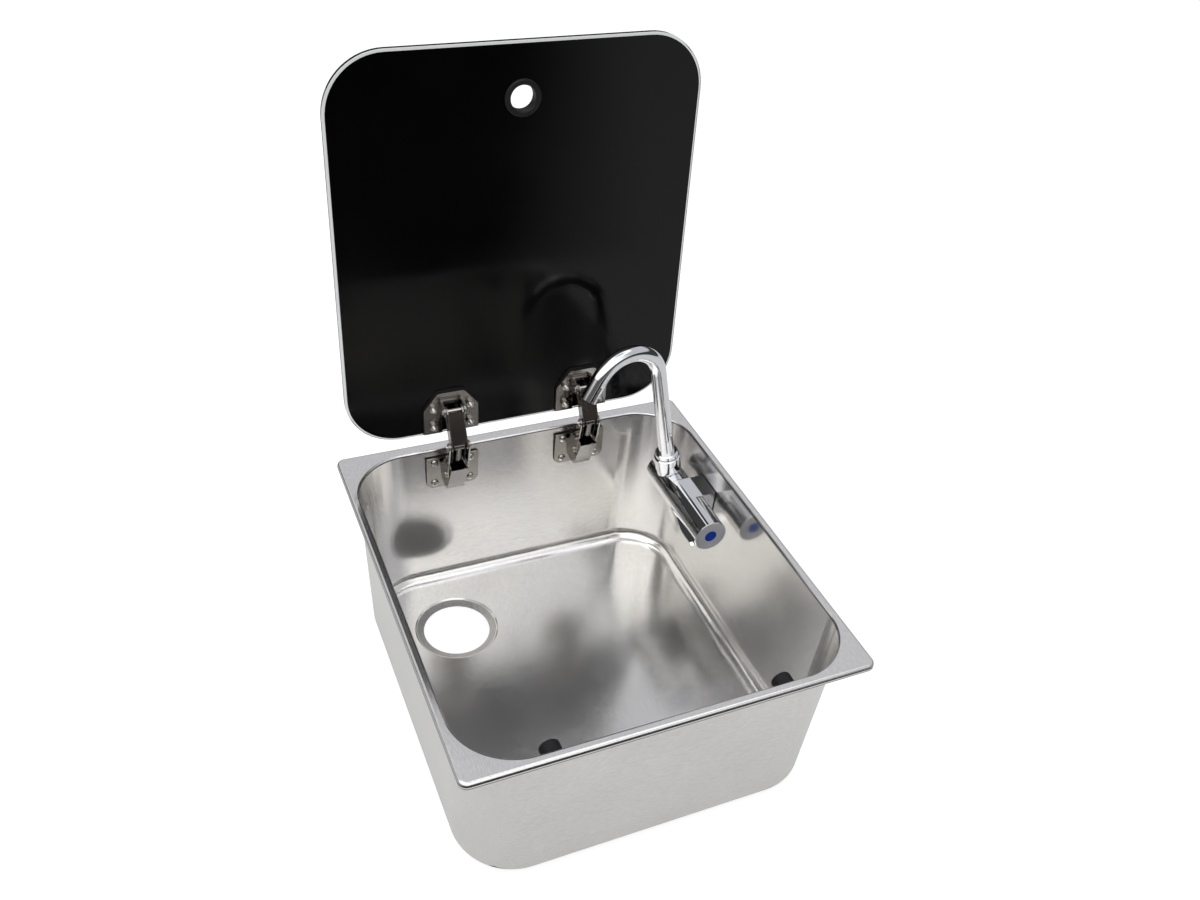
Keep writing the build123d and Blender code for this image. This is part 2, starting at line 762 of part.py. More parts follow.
def elbow_sweep(radius, start_x):
    """Round bar of the hose elbow: along the shank's axis, then down."""
    top = shank_z - elbow_bend_r
    slant = elbow_bend_r * (1 - cos(radians(45)))
    line = Line((start_x, bracket_y, shank_z), (elbow_x - elbow_bend_r, bracket_y, shank_z))
    bend = ThreePointArc((elbow_x - elbow_bend_r, bracket_y, shank_z),
                         (elbow_x - slant, bracket_y, shank_z - slant), (elbow_x, bracket_y, top))
    drop = Line((elbow_x, bracket_y, top), (elbow_x, bracket_y, shank_z - tail_drop + tail_len))
    start = Plane(origin=(start_x, bracket_y, shank_z), z_dir=(1, 0, 0))
    return sweep(start * Circle(radius), path=Wire([line, bend, drop]))


def hose_tail():
    cap_x = nut_x + back_nut_t + 0.5
    foot = shank_z - tail_drop
    body = rod((cap_x, bracket_y, shank_z), (cap_x + tail_cap_t, bracket_y, shank_z), tail_cap_r)
    body += elbow_sweep(elbow_r, cap_x + 1)
    body += rod((elbow_x, bracket_y, foot + tail_len), (elbow_x, bracket_y, foot), tail_r)
    body -= rod((cap_x - 1, bracket_y, shank_z), (shank_end_x, bracket_y, shank_z), shank_r)
    body -= elbow_sweep(tail_bore_r, shank_end_x - 0.5)
    return body - rod((elbow_x, bracket_y, foot + tail_len + 1), (elbow_x, bracket_y, foot - 1),
                      tail_bore_r)


parts["tap_hose_tail"] = hose_tail()

# ---------------------------------------------------------------- tap: folding barrel

lean = radians(post_lean)
turn = radians(spout_turn)
post_dir = (-sin(lean), 0, cos(lean))
spout_dir = (-cos(turn) * cos(lean), -sin(turn), -cos(turn) * sin(lean))
post_frame = Plane(origin=(barrel_x, tap_datum + post_y, barrel_z), x_dir=spout_dir, z_dir=post_dir)


def tap_barrel():
    front = sleeve_back + joint_gap
    groove = ring_section * 2
    outline = [(0, neck_front), (neck_r, neck_front), (neck_r, front), (barrel_r, front),
               (barrel_r, barrel_back - 0.8), (barrel_r - 0.8, barrel_back), (0, barrel_back)]
    body = turned(outline)
    body -= Pos(0, 0, neck_front) * Cylinder(neck_bore_r, 2 * (neck_bore_back - neck_front))
    body -= Pos(0, 0, barrel_back) * Cylinder(water_r, 2 * (barrel_back - port_y))
    body -= Pos(0, 0, barrel_back) * Cylinder(cap_r, 2 * cap_t)
    for y in ring_y:
        body -= turned([(neck_r - groove, y - ring_groove_w / 2), (neck_r + 1, y - ring_groove_w / 2),
                        (neck_r + 1, y + ring_groove_w / 2), (neck_r - groove, y + ring_groove_w / 2)])
    body -= turned([(port_groove_r, port_y - port_groove_w / 2), (neck_r + 1, port_y - port_groove_w / 2),
                    (neck_r + 1, port_y + port_groove_w / 2), (port_groove_r, port_y + port_groove_w / 2)])
    clip_back = sleeve_front - joint_gap
    body -= turned([(clip_seat_r, clip_back - clip_t), (neck_r + 1, clip_back - clip_t),
                    (neck_r + 1, clip_back), (clip_seat_r, clip_back)])
    body -= rod((-neck_r - 1, 0, port_y), (neck_r + 1, 0, port_y), port_r)
    body = barrel_frame * body
    post = rod((0, 0, water_r + 2), (0, 0, boss_top), boss_r)
    post += rod((0, 0, boss_top), (0, 0, nose_top), nose_r)
    body += post_frame * post
    ring_r = tube_r + run_gap + 2 * ring_section
    hollow = rod((0, 0, 0), (0, 0, nose_top + 1), water_r - 1)
    hollow += rod((0, 0, tube_start - joint_gap), (0, 0, nose_top + 1), tube_r + run_gap)
    hollow += rod((0, 0, spout_ring_s - ring_groove_w / 2), (0, 0, spout_ring_s + ring_groove_w / 2),
                  ring_r)
    return body - post_frame * hollow


def end_cap():
    cap = rod((0, 0, barrel_back - cap_t), (0, 0, barrel_back), cap_r)
    return barrel_frame * chamfer(cap.edges().group_by(Axis.Z)[-1], 0.5)


def cartridge():
    body = turned([(spindle_r + run_gap, cartridge_front), (cartridge_nose_r, cartridge_front),
                   (cartridge_nose_r, neck_front), (neck_bore_r, neck_front),
                   (neck_bore_r, cartridge_back), (0, cartridge_back),
                   (0, spindle_back + 1), (spindle_r + run_gap, spindle_back + 1)])
    body -= rod((-neck_bore_r - 1, 0, port_y), (neck_bore_r + 1, 0, port_y), port_r)
    body -= rod((0, 0, port_y), (0, 0, cartridge_back + 1), port_r)
    return barrel_frame * body


ring_mid_r = neck_r + run_gap / 2 - ring_section
parts["tap_barrel"] = tap_barrel()
parts["barrel_end_cap"] = end_cap()
parts["tap_cartridge"] = cartridge()
parts["barrel_o_rings"] = group([barrel_frame * Pos(0, 0, y) * rubber_ring(ring_mid_r, ring_section)
                                 for y in ring_y])
clip_back = sleeve_front - joint_gap
parts["retaining_ring"] = barrel_frame * turned([(clip_seat_r, clip_back - clip_t),
                                                 (clip_r, clip_back - clip_t), (clip_r, clip_back),
                                                 (clip_seat_r, clip_back)])
parts["spout_o_ring"] = post_frame * Pos(0, 0, spout_ring_s) * rubber_ring(
    tube_r + run_gap / 2 + ring_section, ring_section)

lip_bore = tube_r + joint_gap
parts["swivel_nut"] = post_frame * turned([
    (nose_r, nut_low), (nut_r - 0.8, nut_low), (nut_r, nut_low + 0.8), (nut_r, nut_high - 1.2),
    (nut_r - 1.2, nut_high), (lip_bore, nut_high), (lip_bore, nut_lip), (nose_r, nut_lip)])

# ---------------------------------------------------------------- tap: spout


def spout_path():
    bend = radians(bend_angle)
    half = bend / 2
    start = (0, 0, tube_start)
    low = (0, 0, bend_start)
    mid = (bend_r - bend_r * cos(half), 0, bend_start + bend_r * sin(half))
    high = (bend_r - bend_r * cos(bend), 0, bend_start + bend_r * sin(bend))
    tip = (high[0] + tip_len * sin(bend), 0, high[2] + tip_len * cos(bend))
    return Wire([Line(start, low), ThreePointArc(low, mid, high), Line(high, tip)]), high, tip


def spout_tube():
    wall = Pos(0, 0, tube_start) * (Circle(tube_r) - Circle(tube_bore_r))
    tube = sweep(wall, path=path)
    ferrule = turned([(tube_bore_r + 0.4, nose_top + joint_gap), (ferrule_r, nose_top + joint_gap),
                      (ferrule_r, nut_lip - joint_gap), (tube_bore_r + 0.4, nut_lip - joint_gap)])
    return tube + ferrule


path, straight_start, tip = spout_path()
back = Vector(*straight_start) - Vector(*tip)
tip_frame = Plane(origin=tip, z_dir=back)
parts["spout_tube"] = post_frame * spout_tube()
parts["spout_collar"] = post_frame * turned([
    (tube_r, collar_low), (collar_r - 0.6, collar_low), (collar_r, collar_low + 0.6),
    (collar_r, collar_high - 1.4), (collar_r - 1.4, collar_high), (tube_r, collar_high)])
parts["outlet_insert"] = post_frame * (tip_frame * turned([
    (outlet_bore_r, 1.0), (tube_bore_r, 1.0), (tube_bore_r, outlet_len), (outlet_bore_r, outlet_len)]))

# ---------------------------------------------------------------- tap: knob


def knob():
    back = sleeve_front - joint_gap
    disc_back = knob_front + knob_disc_t
    body = turned([(0, disc_back), (knob_disc_r, disc_back), (knob_disc_r, knob_front),
                   (barrel_r - 0.3, knob_front), (barrel_r, knob_front + 0.3), (barrel_r, back),
                   (knob_cavity_r, back), (knob_cavity_r, knob_web_back),
                   (knob_socket_r, knob_web_back), (knob_socket_r, knob_socket_back),
                   (0, knob_socket_back)])
    side = polygon([(knob_cavity_r + 0.5, fin_front + 2.5), (barrel_r + 1, fin_front),
                    (fin_tip_r, fin_front + 1.5), (fin_tip_r, fin_full),
                    (barrel_r + 0.3, fin_back), (knob_cavity_r + 0.5, fin_back)])
    fin = extrude(Plane.XZ.offset(-fin_t / 2) * side, fin_t)
    body += Rot(0, 0, -fin_angle) * fin
    body -= Pos(0, 0, knob_socket_back) * Cylinder(spindle_r, 2 * (knob_socket_back - spindle_front))
    body -= Pos(0, 0, disc_back) * Cylinder(knob_screw_head_r, 2 * knob_screw_head_t)
    body -= Pos(0, 0, disc_back) * Cylinder(knob_screw_r, 4 * (spindle_front - disc_back))
    return barrel_frame * body


def spindle():
    body = rod((0, 0, spindle_front), (0, 0, spindle_back), spindle_r)
    return barrel_frame * (body - Pos(0, 0, spindle_front) * Cylinder(knob_screw_r, 20))


seat = knob_front + knob_disc_t + knob_screw_head_t
knob_screw = rod((0, 0, seat), (0, 0, spindle_front + 8), knob_screw_r)
knob_screw += rod((0, 0, seat - knob_screw_head_t + 0.2), (0, 0, seat), knob_screw_head_r)
disc = rod((0, 0, knob_front), (0, 0, knob_front + knob_disc_t), knob_disc_r)
marker = rod((0, 0, knob_front - marker_proud), (0, 0, knob_front), marker_r)
parts["knob"] = knob()
parts["knob_spindle"] = spindle()
parts["knob_screw"] = barrel_frame * knob_screw
parts["knob_disc"] = barrel_frame * disc
parts["cold_marker"] = barrel_frame * marker

# ---------------------------------------------------------------- files

os.makedirs("parts", exist_ok=True)
for node, shape in parts.items():
    export_step(shape, "parts/" + node + ".step")
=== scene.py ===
import json
import math

import bpy
from mathutils import Matrix, Vector


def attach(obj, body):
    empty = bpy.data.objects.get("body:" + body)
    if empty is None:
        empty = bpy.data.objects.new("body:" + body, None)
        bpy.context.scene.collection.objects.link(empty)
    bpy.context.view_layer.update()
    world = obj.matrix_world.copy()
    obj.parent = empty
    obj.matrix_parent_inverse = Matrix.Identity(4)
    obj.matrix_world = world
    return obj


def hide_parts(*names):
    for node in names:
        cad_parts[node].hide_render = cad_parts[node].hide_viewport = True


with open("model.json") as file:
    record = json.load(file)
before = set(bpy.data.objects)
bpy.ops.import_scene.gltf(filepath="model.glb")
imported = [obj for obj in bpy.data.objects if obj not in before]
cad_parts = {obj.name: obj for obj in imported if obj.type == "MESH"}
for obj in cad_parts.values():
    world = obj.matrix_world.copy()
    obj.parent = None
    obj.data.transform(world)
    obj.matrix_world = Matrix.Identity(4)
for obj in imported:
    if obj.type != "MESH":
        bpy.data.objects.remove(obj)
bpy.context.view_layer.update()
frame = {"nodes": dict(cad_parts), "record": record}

# ---------------------------------------------------------------- camera
LENS_MM = 34.813
RIGHT = Vector((0.91911289, -0.38688773, 0.07449418))
UP = Vector((0.18264292, 0.58591713, 0.78952054))
BACK = Vector((-0.34910322, -0.71205267, 0.60918629))
CAMERA_AT = (-0.34362, -0.70920, 0.73419)

cam_data = bpy.data.cameras.new("camera")
cam_data.sensor_width = 36.0
cam_data.lens = LENS_MM
cam_data.clip_start = 0.01
camera = bpy.data.objects.new("camera", cam_data)
bpy.context.collection.objects.link(camera)
turn = Matrix((RIGHT, UP, BACK)).transposed().to_4x4()
camera.matrix_world = Matrix.Translation(CAMERA_AT) @ turn
scene = bpy.context.scene
scene.camera = camera
scene.view_settings.view_transform = "Standard"


# ---------------------------------------------------------------- node helpers
class Nodes:
    """Short calls that add nodes to one tree. Each returns the new node's output."""

    def __init__(self, tree):
        self.tree = tree

    def feed(self, socket, value):
        """Link another node's output to a socket, or give the socket a constant."""
        if hasattr(value, "is_linked"):
            self.tree.links.new(value, socket)
        elif socket.type == "RGBA":
            socket.default_value = (*value, 1.0)
        else:
            socket.default_value = value

    def node(self, kind, feeds=None, **settings):
        """The new node itself, its inputs fed by name or number."""
        made = self.tree.nodes.new(kind)
        for key, value in settings.items():
            setattr(made, key, value)
        for key, value in (feeds or {}).items():
            self.feed(made.inputs[key], value)
        return made

    def remap(self, value, low, high, to_low, to_high):
        return self.node("ShaderNodeMapRange", {
            "Value": value, "From Min": low, "From Max": high,
            "To Min": to_low, "To Max": to_high}).outputs["Result"]

    def spread(self, noise, to_low, to_high, low=0.3, high=0.7):
        """A noise's usual range stretched to new limits."""
        return self.remap(noise, low, high, to_low, to_high)

    def mix(self, factor, first, second, kind="RGBA"):
        return self.node("ShaderNodeMix", {"Factor": factor, "A": first, "B": second},
                         data_type=kind).outputs["Result"]

    def math(self, how, first, second=0.0):
        return self.node("ShaderNodeMath", {0: first, 1: second},
                         operation=how).outputs["Value"]

    def vector(self, how, first, second):
        made = self.node("ShaderNodeVectorMath", {0: first, 1: second}, operation=how)
        return made.outputs["Vector" if how == "MULTIPLY" else "Value"]

    def part(self, vector, axis):
        return self.node("ShaderNodeSeparateXYZ", {"Vector": vector}).outputs[axis]

    def layer(self, share, under, over):
        return self.node("ShaderNodeMixShader", {0: share, 1: under, 2: over}).outputs[0]

    def rays(self, *kinds):
        """1 for the rays named, 0 for the rest."""
        path = self.node("ShaderNodeLightPath")
        seen = path.outputs[kinds[0]]
        for kind in kinds[1:]:
            seen = self.math("MAXIMUM", seen, path.outputs[kind])
        return seen


class Mat(Nodes):
    """A procedural material: its shader's constants, and calls that feed its sockets."""

    def __init__(self, name, **constants):
        self.mat = bpy.data.materials.new(name)
        self.mat.use_nodes = True
        super().__init__(self.mat.node_tree)
        self.shader = self.tree.nodes["Principled BSDF"]
        for key, value in constants.items():
            self.feed(self.shader.inputs[key.replace("_", " ")], value)

    def to(self, value, name):
        self.feed(self.shader.inputs[name], value)

    def surface(self, shader):
        self.feed(self.tree.nodes["Material Output"].inputs["Surface"], shader)

    def noise(self, scale, detail, stretch=(1, 1, 1)):
        place = self.node("ShaderNodeTexCoord").outputs["Object"]
        mapping = self.node("ShaderNodeMapping", {"Vector": place, "Scale": stretch})
        return self.node("ShaderNodeTexNoise", {
            "Vector": mapping.outputs["Vector"], "Scale": scale,
            "Detail": detail}).outputs["Fac"]

    def bump(self, height, strength, distance):
        made = self.node("ShaderNodeBump", {
            "Height": height, "Strength": strength, "Distance": distance})
        self.to(made.outputs["Normal"], "Normal")

    def haze(self, share, rough):
        """A second, wider lobe of the same colour, as fine scratches scatter light."""
        same = {name: self.shader.inputs[name].links[0].from_socket
                for name in ("Base Color", "Normal")}
        wide = self.node("ShaderNodeBsdfPrincipled",
                         {"Metallic": 1.0, "Roughness": rough, **same})
        self.surface(self.layer(share, self.shader.outputs[0], wide.outputs[0]))


# ---------------------------------------------------------------- looks
BLACK = (0.0, 0.0, 0.0)

# Brushing: its noise scale, the stretch along a line, and what it does to each channel.
GRAIN_SCALE, GRAIN_STRETCH = 850.0, 0.2
GRAIN_DEPTH, GRAIN_ROUGH, GRAIN_BUMP = 0.09, 0.02, 0.012
# Between these shares of the normal along Y a face's lines turn from one way to the other.
LINES_TURN = (0.55, 0.85)
# Between these shares of the normal along Z a face becomes level, and so satin. The satin is
# full up to the first height and gone by the second, which leaves out the flange.
LEVEL_FACE = (0.6, 0.95)
SATIN_FULL_Z, SATIN_NONE_Z = -0.06, -0.03
# Handling: broad soft patches, a little darker, rougher or smoother than the rest.
PATCH_SCALE, PATCH_SHADE, PATCH_ROUGH = 14.0, 0.94, (-0.02, 0.03)

# Painted shade lines, in metres: where the middle is, how far it reaches, and how dark it is.
# Outside the rolled rim: a painted dark reflection band, and a painted shadow line at the
# skirt's foot.
PAINTED_SHADE_OUTSIDE = ((0.0043, 0.0006, 0.88), (0.0014, 0.0005, 0.85))
# Inside the rim: a painted shade line at the opening's edge.
PAINTED_SHADE_INSIDE = (0.0052, 0.0003, 0.75)
# Round the drain: a painted shade ring on its slope.
DRAIN_MIDDLE, PAINTED_DRAIN_SHADE = (-0.0915, 0.104, -0.166), (0.0377, 0.0033, 0.48)
LINE_EDGE = 0.0003
# By the dot product of place and normal: a face looks into the bowl up to the first value,
# and out of it from the second on.
INWARD, OUTWARD = 0.05, 0.10


def painted_shade_band(m, value, middle, half, share):
    """Painted shade band: the share where the value is near the middle, falling to nothing just
    past half.
    """
    off = m.math("ABSOLUTE", m.math("SUBTRACT", value, middle))
    return m.remap(off, half, half + LINE_EDGE, share, 0.0)


def painted_rim_and_drain_shade(m, place, normal, height):
    """Painted shade on the slope round the drain, and painted shadow and dark reflection lines
    along the flange's rolled rim.
    """
    facing = m.vector("DOT_PRODUCT", place, normal)
    outside = m.remap(facing, INWARD, OUTWARD, 0.0, 1.0)
    inside = m.remap(facing, INWARD, OUTWARD, 1.0, 0.0)
    outer = m.math("ADD", *(painted_shade_band(m, height, *line) for line in PAINTED_SHADE_OUTSIDE))
    rim = m.math("ADD", m.math("MULTIPLY", outer, outside),
                 m.math("MULTIPLY", painted_shade_band(m, height, *PAINTED_SHADE_INSIDE), inside))
    reach = m.vector("DISTANCE", place, DRAIN_MIDDLE)
    return m.math("ADD", rim, painted_shade_band(m, reach, *PAINTED_DRAIN_SHADE))


def brushed(name, color, rough, flat_rough, bowl=False):
    """Brushed steel: smoother on upright faces, satin on level ones, lines along the sides."""
    m = Mat(name, Metallic=1.0)
    normal = m.node("ShaderNodeNewGeometry").outputs["Normal"]
    place = m.node("ShaderNodeTexCoord").outputs["Object"]
    height = m.part(place, "Z")
    facing_y = m.remap(m.math("ABSOLUTE", m.part(normal, "Y")), *LINES_TURN, 0.0, 1.0)
    along_y = m.noise(GRAIN_SCALE, detail=3.0, stretch=(1.0, GRAIN_STRETCH, 1.0))
    along_x = m.noise(GRAIN_SCALE, detail=3.0, stretch=(GRAIN_STRETCH, 1.0, 1.0))
    grain = m.mix(facing_y, along_y, along_x, kind="FLOAT")
    patches = m.noise(PATCH_SCALE, detail=4.0)
    handled = m.mix(m.spread(patches, 0.0, 1.0), tuple(PATCH_SHADE * c for c in color), color)
    dark = m.spread(grain, GRAIN_DEPTH, 0.0, low=0.35, high=0.65)
    # On the bowl, painted shade and painted dark reflection lines are added to the grain's
    # darkening.
    if bowl:
        dark = m.math("ADD", dark, painted_rim_and_drain_shade(m, place, normal, height))
    m.to(m.mix(dark, handled, BLACK), "Base Color")
    low_down = m.remap(height, SATIN_FULL_Z, SATIN_NONE_Z, 1.0, 0.0)
    satin = m.remap(m.math("ABSOLUTE", m.part(normal, "Z")), *LEVEL_FACE,
                    0.0, flat_rough - rough)
    even = m.math("ADD", m.math("MULTIPLY", low_down, satin), rough)
    wear = m.math("ADD", m.spread(grain, -GRAIN_ROUGH, GRAIN_ROUGH),
                  m.spread(patches, *PATCH_ROUGH))
    m.to(m.math("ADD", even, wear), "Roughness")
    m.bump(grain, strength=GRAIN_BUMP, distance=0.00008)
    if bowl:
        m.haze(share=0.15, rough=0.45)
    return m.mat


def plated(name, color, rough):
    """Smooth metal with faint smears."""
    m = Mat(name, Metallic=1.0)
    smears = m.noise(scale=60.0, detail=5.0)
    m.to(m.mix(m.spread(smears, 0.0, 1.0), tuple(0.96 * c for c in color), color),
         "Base Color")
    m.to(m.spread(smears, rough, rough + 0.03, low=0.35, high=0.75), "Roughness")
    m.bump(m.noise(scale=220.0, detail=2.0), strength=0.02, distance=0.00005)
    return m.mat


def moulded(name, color, rough, grain=0.15, shine=0.5):
    """Rubber or plastic with a fine grain and paler, rubbed patches."""
    m = Mat(name, Metallic=0.0, Specular_IOR_Level=shine)
    patches = m.noise(scale=35.0, detail=4.0)
    paler = tuple(min(1.0, 1.35 * c + 0.004) for c in color)
    m.to(m.mix(m.spread(patches, 0.0, 1.0, low=0.35, high=0.75), color, paler), "Base Color")
    m.to(m.spread(patches, rough - 0.05, rough + 0.07), "Roughness")
    m.bump(m.noise(scale=900.0, detail=3.0), strength=grain, distance=0.0001)
    return m.mat


def lid_glass_look():
    """Clear glass with a faint green and a little haze."""
    m = Mat("black_glass", Metallic=0.0, IOR=1.5, Transmission_Weight=1.0)
    haze = m.noise(scale=40.0, detail=4.0)
    m.to(m.mix(m.spread(haze, 0.0, 1.0), (0.93, 0.96, 0.95), (0.96, 0.985, 0.975)),
         "Base Color")
    m.to(m.spread(haze, 0.02, 0.06), "Roughness")
    return m.mat


def print_look():
    """The black enamel behind the glass."""
    m = Mat("lid_print", Metallic=0.0, IOR=1.45, Specular_IOR_Level=0.3)
    haze = m.noise(scale=9.0, detail=5.0)
    m.to(m.mix(m.spread(haze, 0.0, 1.0), (0.0015, 0.0015, 0.0015), (0.003, 0.003, 0.003)),
         "Base Color")
    m.to(m.spread(haze, 0.09, 0.14), "Roughness")
    m.bump(m.noise(scale=500.0, detail=2.0), strength=0.02, distance=0.00005)
    return m.mat


looks = {
    "bowl_steel": brushed("bowl_steel", (0.88, 0.87, 0.855), 0.14, flat_rough=0.2, bowl=True),
    "hinge_steel": brushed("hinge_steel", (0.36, 0.342, 0.318), 0.11, flat_rough=0.11),
    "damper_steel": plated("damper_steel", (0.17, 0.16, 0.15), 0.12),
    "fastener_steel": plated("fastener_steel", (0.62, 0.60, 0.57), 0.14),
    "chrome": plated("chrome", (0.80, 0.81, 0.83), 0.04),
    "brass": plated("brass", (0.66, 0.50, 0.24), 0.22),
    "rubber": moulded("rubber", (0.008, 0.008, 0.009), 0.5, shine=0.25),
    "grommet_plastic": moulded("grommet_plastic", (0.008, 0.008, 0.0085), 0.5, shine=0.3),
    "arm_cover": moulded("arm_cover", (0.022, 0.017, 0.014), 0.22, grain=0.05),
    "disc_plastic": moulded("disc_plastic", (0.47, 0.48, 0.50), 0.42),
    "cold_blue": moulded("cold_blue", (0.0, 0.040, 0.38), 0.4, shine=0.15),
    "black_glass": lid_glass_look(),
}

for entry in frame["record"]["subparts"]:
    node = frame["nodes"][entry["node"]]
    damper = "damper_cylinder" in entry["node"]
    node.data.materials.clear()
    node.data.materials.append(looks["damper_steel" if damper else entry["material_slot"]])

# ---------------------------------------------------------------- piece helpers
MM = 0.001


def make(name, verts, faces, body, look, smooth_below=None):
    """A piece from vertices in millimetres. Edges under the angle given are shaded smooth."""
    mesh = bpy.data.meshes.new(name)
    mesh.from_pydata([tuple(v * MM) for v in verts], [], faces)
    mesh.update()
    mesh.materials.append(look)
    if smooth_below:
        mesh.shade_smooth()
        mesh.set_sharp_from_angle(angle=math.radians(smooth_below))
    piece = bpy.data.objects.new(name, mesh)
    bpy.context.collection.objects.link(piece)
    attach(piece, body)
    return piece


def ring_quads(low, high, count):
    """Quads between two rings of vertices, each ring given by where it starts."""
    return [(low + i, low + (i + 1) % count, high + (i + 1) % count, high + i)
            for i in range(count)]


def lathe(profile, angles, loop=False):
    """Skin of rings about local Z: closed on itself as a loop, or else capped at both ends.

    A radius or a height may be a function of the angle.
    """
    count, last = len(angles), len(profile) - 1
    verts = []
    for radius, height in profile:
        for a in angles:
            r = radius(a) if callable(radius) else radius
            z = height(a) if callable(height) else height
            verts.append(Vector((r * math.cos(a), r * math.sin(a), z)))
    spans = [(k, k + 1) for k in range(last)]
    if loop:
        spans.append((last, 0))
    faces = [quad for low, high in spans
             for quad in ring_quads(low * count, high * count, count)]
    if not loop:
        faces += [tuple(reversed(range(count))), tuple(range(last * count, len(verts)))]
    return verts, faces


def even_angles(count):
    return [2 * math.pi * i / count for i in range(count)]


# ---------------------------------------------------------------- lid print
GLASS_W, GLASS_D, GLASS_CORNER = 347.0, 383.0, 54.0
LID_LEAN = math.radians(2.35)
LID_REAR = Vector((0.0, 193.3, 25.9))
LID_U = Vector((0.0, math.sin(LID_LEAN), math.cos(LID_LEAN)))
LID_V = Vector((0.0, -math.cos(LID_LEAN), math.sin(LID_LEAN)))
GRIP_U = 334.0
PRINT_INSET, PRINT_HOLE_R, PRINT_LEVEL = 2.5, 14.2, 0.04
CORNER_STEPS, SIDE_STEPS = 16, 30


def on_lid(x, u, v):
    """A place by its distance across the lid, up from its rear edge and out of its face."""
    return LID_REAR + Vector((x, 0, 0)) + LID_U * u + LID_V * v


def print_outline():
    """Rounded rectangle, its corners and its straight sides both cut into short steps."""
    radius = GLASS_CORNER - PRINT_INSET
    far_x = GLASS_W / 2 - PRINT_INSET - radius
    low_u, high_u = PRINT_INSET + radius, GLASS_D - PRINT_INSET - radius
    middles = ((far_x, high_u), (-far_x, high_u), (-far_x, low_u), (far_x, low_u))
    corners = []
    for quarter, (cx, cu) in enumerate(middles):
        angles = [math.radians(90.0 * (quarter + i / CORNER_STEPS))
                  for i in range(CORNER_STEPS + 1)]
        corners.append([(cx + radius * math.cos(a), cu + radius * math.sin(a))
                        for a in angles])
    points = []
    for corner, following in zip(corners, corners[1:] + corners[:1]):
        points += corner
        (x, u), (next_x, next_u) = corner[-1], following[0]
        points += [(x + (next_x - x) * i / SIDE_STEPS, u + (next_u - u) * i / SIDE_STEPS)
                   for i in range(1, SIDE_STEPS)]
    return points


def print_sheet():
    """The black print: one flat ring of quads from its outline in to the finger hole."""
    outline = print_outline()
    angles = [math.atan2(u - GRIP_U, x) for x, u in outline]
    hole = [(PRINT_HOLE_R * math.cos(a), GRIP_U + PRINT_HOLE_R * math.sin(a)) for a in angles]
    verts = [on_lid(x, u, PRINT_LEVEL) for x, u in outline + hole]
    faces = ring_quads(0, len(outline), len(outline))
    make("lid_print", verts, faces, "lid", print_look())


print_sheet()

# ---------------------------------------------------------------- fasteners
M4_R, M4_ROOT_R, M4_PITCH = 2.0, 1.62, 0.7
TURN_STEPS, RUNOUT_TURN = 20, 0.6
TIP_BEVEL, TIP_BARE = 0.35, 0.2
HEAD_R, HEAD_H, HEAD_SIDE = 3.8, 2.4, 0.35
DOME_SHARES = (0.975, 0.92, 0.84, 0.72, 0.6)
CROSS_HALF, CROSS_REACH = 0.55, 1.95
CROSS_CORNER = math.atan2(CROSS_HALF, CROSS_REACH)
# The recess going down: share of its width at the top, and share of its depth.
RECESS_DEPTH, RECESS_TAPER = 1.5, ((0.82, 0.7), (0.3, 1.0))
NUT_ACROSS, NUT_H, NUT_BEVEL_R, NUT_STEPS = 7.0, 3.2, 3.36, 36
BORE_BEVEL = 0.4
EIGHTH, QUARTER = math.pi / 4, math.pi / 2

SIDEWAYS = Vector((1, 0, 0))
HINGE_X = (-70.0, 70.0)
SCREW_OFF = (-19.0, 19.0)
PLATE_Y = 187.0
WALL_SCREW_Z = (-7.0, -32.3)
# The washers' outer ends: their Y at one height, and the wall's lean.
WASHER_Y, WASHER_Z, WALL_SLOPE = 193.0, 7.0, 0.041
PLATE_OUT_V, PLATE_IN_V = -7.5, 3.0
LID_BOLT_U = (11.5, 32.5)
# How far a wall screw passes its nut, how far a lid bolt passes its inner plate, and how far
# the bare part of either enters the nut.
WALL_TIP, LID_TIP, BARE_IN_NUT = 1.5, 8.5, 1.0


def thread(low, high):
    """Helical V thread: a crest line and a root line half a pitch apart, joined by flanks."""
    turns = (high - low) / M4_PITCH - 0.5
    steps = int(turns * TURN_STEPS)
    crest, root = [], []
    for i in range(steps + 1):
        a = 2 * math.pi * i / TURN_STEPS
        z = low + M4_PITCH * i / TURN_STEPS
        fade = min(1.0, (steps - i) / (RUNOUT_TURN * TURN_STEPS))
        r = M4_ROOT_R + (M4_R - M4_ROOT_R) * fade
        crest.append(Vector((r * math.cos(a), r * math.sin(a), z)))
        root.append(Vector((M4_ROOT_R * math.cos(a), M4_ROOT_R * math.sin(a),
                            z + M4_PITCH / 2)))
    far = len(crest)
    faces = [(i, i + 1, far + i + 1, far + i) for i in range(steps)]
    faces += [(far + i, far + i + 1, i + 1 + TURN_STEPS, i + TURN_STEPS)
              for i in range(steps - TURN_STEPS)]
    return crest + root, faces


def cross_reach(angle):
    """Distance from the middle of a cross recess to its edge."""
    off_arm = abs((angle + EIGHTH) % QUARTER - EIGHTH)
    if off_arm <= CROSS_CORNER:
        return CROSS_REACH / math.cos(off_arm)
    return CROSS_HALF / math.sin(off_arm)


def cross_angles():
    """Angles round a cross recess: the arms' middles and corners, and a few in between."""
    quarter = [-CROSS_CORNER, 0.0, CROSS_CORNER]
    quarter += [CROSS_CORNER + (EIGHTH - CROSS_CORNER) * k / 3 for k in (1, 2, 3)]
    quarter += [QUARTER - a for a in quarter[-2:-4:-1]]
    return [a + k * QUARTER for k in range(4) for a in quarter]


def head_top(radius):
    """Height of a pan head's dome at a distance from its middle."""
    dome = math.sqrt(max(0.0, 1 - (radius / HEAD_R) ** 2))
    return HEAD_H * (HEAD_SIDE + (1 - HEAD_SIDE) * dome)


